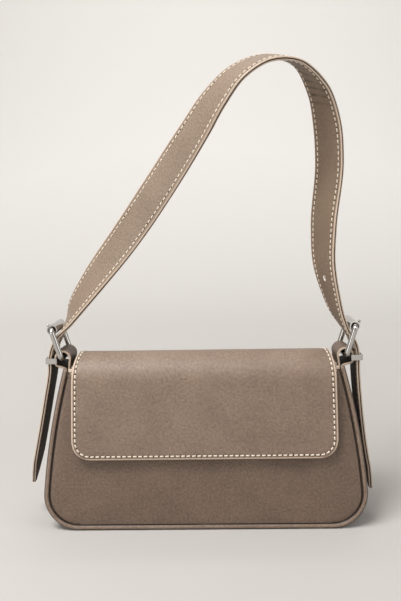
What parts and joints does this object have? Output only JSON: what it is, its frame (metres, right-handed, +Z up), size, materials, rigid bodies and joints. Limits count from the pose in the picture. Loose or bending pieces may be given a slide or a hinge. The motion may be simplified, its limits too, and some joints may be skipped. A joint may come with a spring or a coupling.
{
  "type": "baguette bag",
  "caption": "Small structured shoulder bag with piped seams, a snap-closed front flap and one wide strap buckled to a leather hanger at each end.",
  "frame": {"origin": "centre of the flat underside, on the surface that the bag stands on", "axes": "+Z up through the strap, -Y towards the flap's front, +X to the right seen from the front"},
  "size_m": [0.29, 0.0834, 0.3733],
  "materials": {
    "leather": "fine crosshatch grain, satin",
    "leather_inner": "fine grain, matte",
    "lining_cloth": "plain weave",
    "cord": "twisted cord",
    "board": "matte",
    "polished_metal": "polished",
    "plain_metal": "plain"
  },
  "bodies": {
    "bag": {"front_panel": "leather", "back_panel": "leather", "gusset": "leather", "front_piping": "leather", "back_piping": "leather", "front_piping_cord": "cord", "back_piping_cord": "cord", "lining": "lining_cloth", "base_board": "board", "inner_pocket": "lining_cloth", "snap_socket": "polished_metal", "snap_magnet": "plain_metal", "socket_washer": "plain_metal", "flap_anchor": "leather", "hanger_left": "leather", "hanger_right": "leather"},
    "flap_top": {"flap_top_face": "leather", "flap_top_lining": "leather_inner"},
    "flap_front": {"flap_front_face": "leather", "flap_front_lining": "leather_inner", "snap_stud": "polished_metal", "stud_washer": "plain_metal"},
    "strap": {"strap_face": "leather", "strap_lining": "leather_inner"},
    "left_buckle": {"buckle_left": "polished_metal"},
    "left_roller": {"roller_left": "polished_metal"},
    "left_prong": {"prong_left": "polished_metal"},
    "left_keeper": {"keeper_left": "polished_metal"},
    "right_buckle": {"buckle_right": "polished_metal"},
    "right_roller": {"roller_right": "polished_metal"},
    "right_prong": {"prong_right": "polished_metal"},
    "right_keeper": {"keeper_right": "polished_metal"}
  },
  "joints": [
    {"name": "flap_lift", "type": "hinge", "parent": "bag", "child": "flap_top", "pos_m": [0, 0.011, 0.143], "axis": [-1, 0, 0], "range_deg": [0, 23]},
    {"name": "flap_fold", "type": "hinge", "parent": "flap_top", "child": "flap_front", "pos_m": [0, -0.011, 0.143], "axis": [-1, 0, 0], "range_deg": [0, 46]},
    {"name": "strap_swing", "type": "hinge", "parent": "bag", "child": "strap", "pos_m": [0, 0, 0.13924], "axis": [1, 0, 0], "range_deg": [-30, 7], "deforming": ["hanger_left", "hanger_right"]},
    {"name": "buckle_left_pivot", "type": "hinge", "parent": "strap", "child": "left_buckle", "pos_m": [-0.1221, 0, 0.1623], "axis": [0, -1, 0], "range_deg": [0, 4]},
    {"name": "roller_left_spin", "type": "hinge", "parent": "left_buckle", "child": "left_roller", "pos_m": [-0.1221, 0, 0.1623], "axis": [0, 1, 0], "continuous": true},
    {"name": "prong_left_lift", "type": "hinge", "parent": "left_buckle", "child": "left_prong", "pos_m": [-0.11509, 0, 0.13924], "axis": [0, -1, 0], "range_deg": [0, 4]},
    {"name": "keeper_left_slide", "type": "slide", "parent": "strap", "child": "left_keeper", "axis": [0, 0, 1], "range_m": [-0.0015, 0.0005]},
    {"name": "buckle_right_pivot", "type": "hinge", "parent": "strap", "child": "right_buckle", "pos_m": [0.1221, 0, 0.1623], "axis": [0, 1, 0], "range_deg": [0, 4]},
    {"name": "roller_right_spin", "type": "hinge", "parent": "right_buckle", "child": "right_roller", "pos_m": [0.1221, 0, 0.1623], "axis": [0, 1, 0], "continuous": true},
    {"name": "prong_right_lift", "type": "hinge", "parent": "right_buckle", "child": "right_prong", "pos_m": [0.11509, 0, 0.13924], "axis": [0, 1, 0], "range_deg": [0, 4]},
    {"name": "keeper_right_slide", "type": "slide", "parent": "strap", "child": "right_keeper", "axis": [0, 0, 1], "range_m": [-0.0015, 0.0005]}
  ],
  "couplings": [
    {"joint": "flap_lift", "follows": "flap_fold", "ratio": 0.5}
  ]
}
